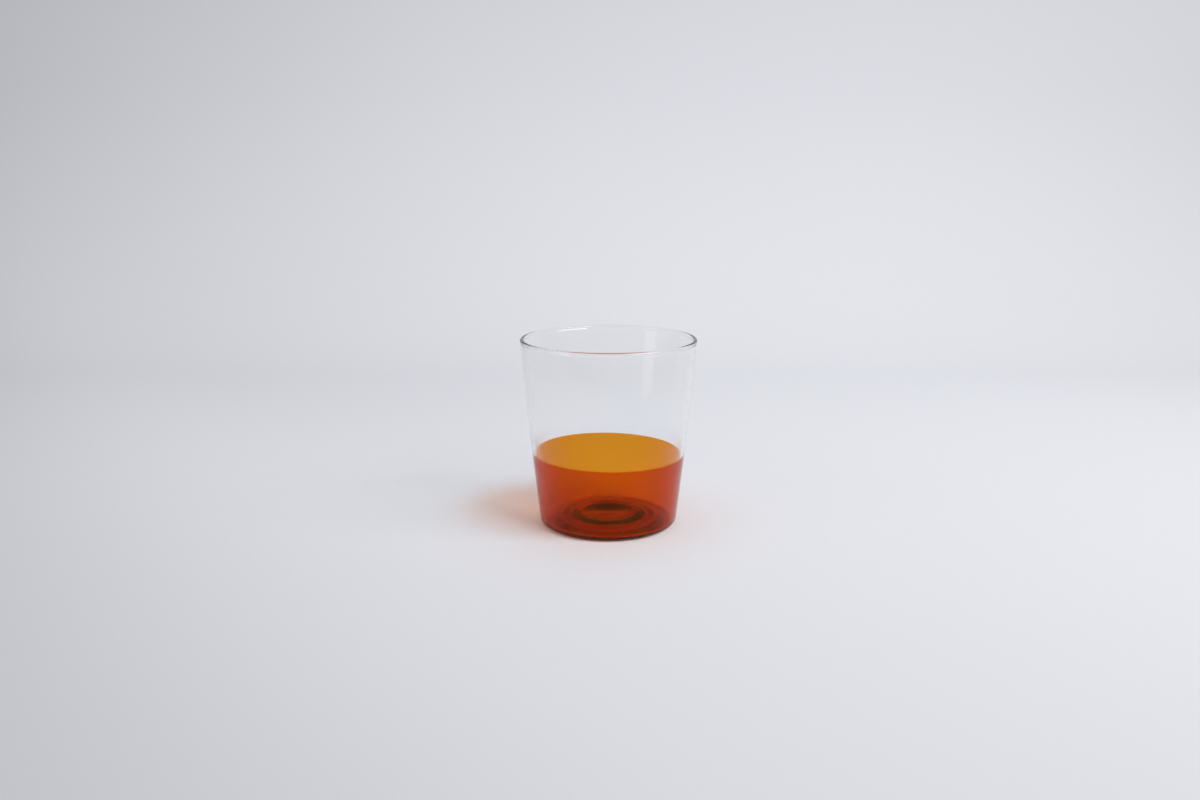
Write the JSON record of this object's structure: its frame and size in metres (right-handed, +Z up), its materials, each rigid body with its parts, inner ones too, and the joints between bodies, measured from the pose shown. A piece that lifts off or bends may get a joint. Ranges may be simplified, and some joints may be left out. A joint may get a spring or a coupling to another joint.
{
  "type": "glass tumbler",
  "caption": "Tapered glass tumbler with a clear wall, a rounded rim and a coloured lower cup fused on below a level colour line.",
  "frame": {"origin": "middle of the underside, on the plane of the table", "axes": "+Z up the axis of the cup; +X towards the lowest point of the leaning colour line"},
  "size_m": [0.085, 0.085, 0.0915],
  "materials": {
    "clear_glass": "polished",
    "amber_glass": "polished"
  },
  "bodies": {
    "root": {"clear_wall": "clear_glass", "amber_base": "amber_glass"}
  },
  "joints": []
}
